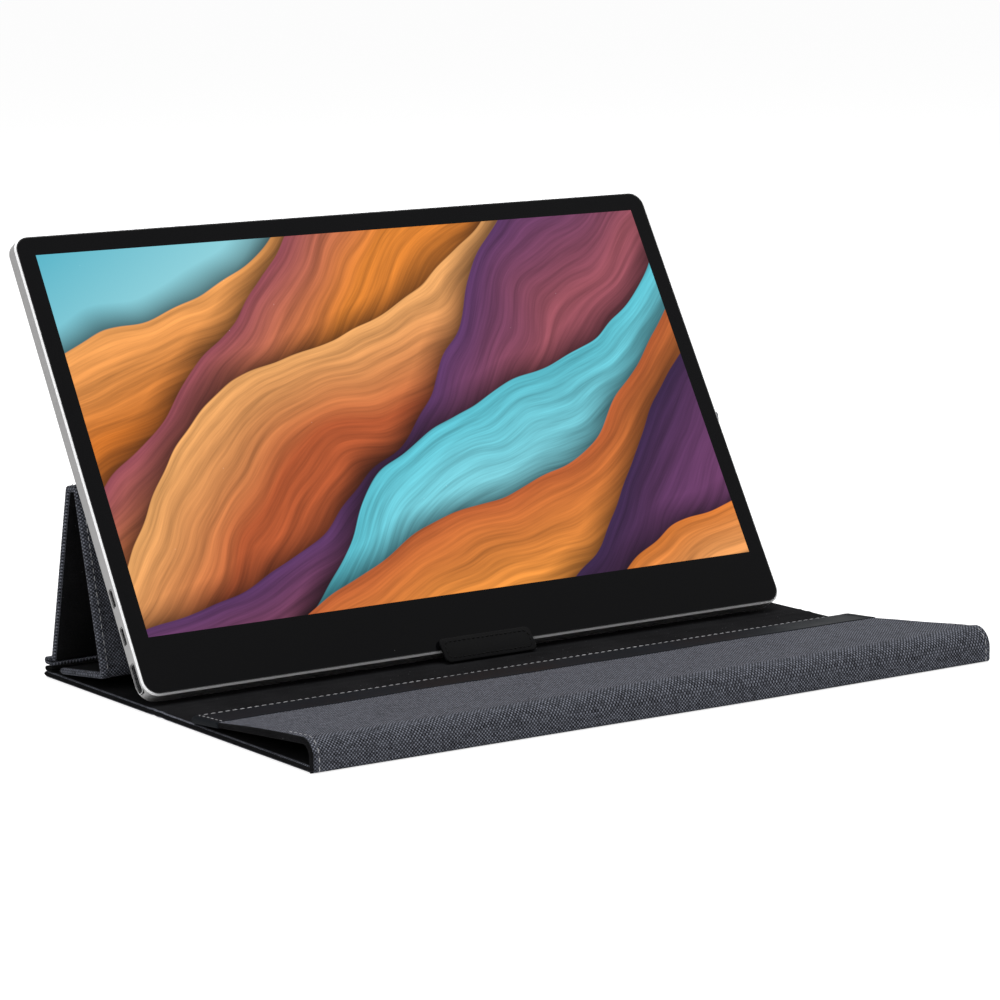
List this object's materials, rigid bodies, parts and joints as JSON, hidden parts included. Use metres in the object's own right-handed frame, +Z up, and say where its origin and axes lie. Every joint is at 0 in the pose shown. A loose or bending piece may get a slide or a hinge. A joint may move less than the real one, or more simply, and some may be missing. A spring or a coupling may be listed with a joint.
{
  "type": "portable monitor with cover",
  "caption": "Thin portable monitor leaning on its folding cloth cover: a triangular prop behind, a retaining tab and a closure flap folded over the base in front.",
  "frame": {"origin": "centre of the underside of the cover's base, on the table", "axes": "+X along the screen to the viewer's right, +Y to the rear, +Z up; the screen faces -Y"},
  "size_m": [0.3736, 0.2666, 0.2072],
  "materials": {
    "woven_cloth": "woven, blue-grey",
    "lining": "soft microfibre, black",
    "stiff_board": "dense board",
    "steel": "plated",
    "magnet": "nickel plated",
    "smooth_band": "smooth coated, black, sewn",
    "tab_leather": "grained, black, sewn",
    "housing": "satin blasted with a bright chamfer",
    "gasket": "matte black",
    "front_glass": "gloss, black printed border",
    "display_cell": "dark display panel",
    "diffuser": "white films",
    "light_guide": "clear acrylic plate",
    "led_bar": "white strip",
    "circuit_board": "green solder mask",
    "black_plastic": "moulded",
    "flat_cable": "amber film"
  },
  "bodies": {
    "base": {"base_cloth": "woven_cloth", "base_front_board": "stiff_board", "base_rear_board": "stiff_board", "base_lining": "lining", "foot_keeper": "steel", "rear_fold_cloth": "woven_cloth", "rear_fold_lining": "lining"},
    "front_spine": {"spine_cloth": "woven_cloth", "spine_board": "stiff_board", "spine_lining": "lining"},
    "closure_flap": {"flap_cloth": "woven_cloth", "flap_board": "stiff_board", "flap_lining": "lining", "flap_band": "smooth_band", "flap_magnets": "magnet"},
    "rear_leg": {"rear_leg_cloth": "woven_cloth", "rear_leg_board": "stiff_board", "rear_leg_lining": "lining"},
    "front_leg": {"front_leg_cloth": "woven_cloth", "front_leg_board": "stiff_board", "apex_board": "stiff_board", "front_leg_lining": "lining"},
    "foot": {"foot_cloth": "woven_cloth", "foot_board": "stiff_board", "foot_lining": "lining", "foot_magnets": "magnet"},
    "retaining_tab": {"tab_leather": "tab_leather", "tab_backing": "lining"},
    "monitor": {"rear_housing": "housing", "screen_gasket": "gasket", "front_glass": "front_glass", "display_cell": "display_cell", "diffuser_films": "diffuser", "light_guide": "light_guide", "led_bar": "led_bar", "backlight_tray": "steel", "main_board": "circuit_board", "button_board": "circuit_board", "hdmi_socket": "steel", "usb_sockets": "steel", "port_tongues": "black_plastic", "left_speaker": "black_plastic", "right_speaker": "black_plastic", "display_cable": "flat_cable", "board_screws": "steel"},
    "power_button": {"power_button": "housing"},
    "menu_rocker": {"menu_rocker": "housing"}
  },
  "joints": [
    {"name": "front_spine_fold", "type": "hinge", "parent": "base", "child": "front_spine", "pos_m": [0, -0.1225, 0], "axis": [1, 0, 0], "range_deg": [0, 90]},
    {"name": "closure_flap_fold", "type": "hinge", "parent": "front_spine", "child": "closure_flap", "pos_m": [0, -0.11991, 0.0124], "axis": [1, 0, 0], "range_deg": [0, 94.95]},
    {"name": "rear_leg_fold", "type": "hinge", "parent": "base", "child": "rear_leg", "pos_m": [0, 0.1156, 0.0016], "axis": [-1, 0, 0], "range_deg": [0, 103.82], "deforming": ["rear_fold_cloth", "rear_fold_lining"]},
    {"name": "front_leg_fold", "type": "hinge", "parent": "rear_leg", "child": "front_leg", "pos_m": [0, 0.09408, 0.09494], "axis": [-1, 0, 0], "range_deg": [0, 13]},
    {"name": "foot_fold", "type": "hinge", "parent": "front_leg", "child": "foot", "pos_m": [0, 0.06636, 0.01158], "axis": [1, 0, 0], "range_deg": [0, 76]},
    {"name": "tab_fold", "type": "hinge", "parent": "base", "child": "retaining_tab", "pos_m": [0, 0.01288, 0.00437], "axis": [1, 0, 0], "range_deg": [0, 124.7]},
    {"name": "monitor_lift", "type": "slide", "parent": "base", "child": "monitor", "axis": [0, 0.5105, 0.8599], "range_m": [0, 0.26]},
    {"name": "power_press", "type": "slide", "parent": "monitor", "child": "power_button", "axis": [-1, 0, 0], "range_m": [0, 0.0004], "stiffness_N_per_m": 1500},
    {"name": "menu_rock", "type": "hinge", "parent": "monitor", "child": "menu_rocker", "pos_m": [0.17355, 0.05769, 0.06458], "axis": [0, 0.8599, -0.5105], "range_deg": [-2.5, 2.5], "stiffness_Nm_per_rad": 0.3}
  ]
}
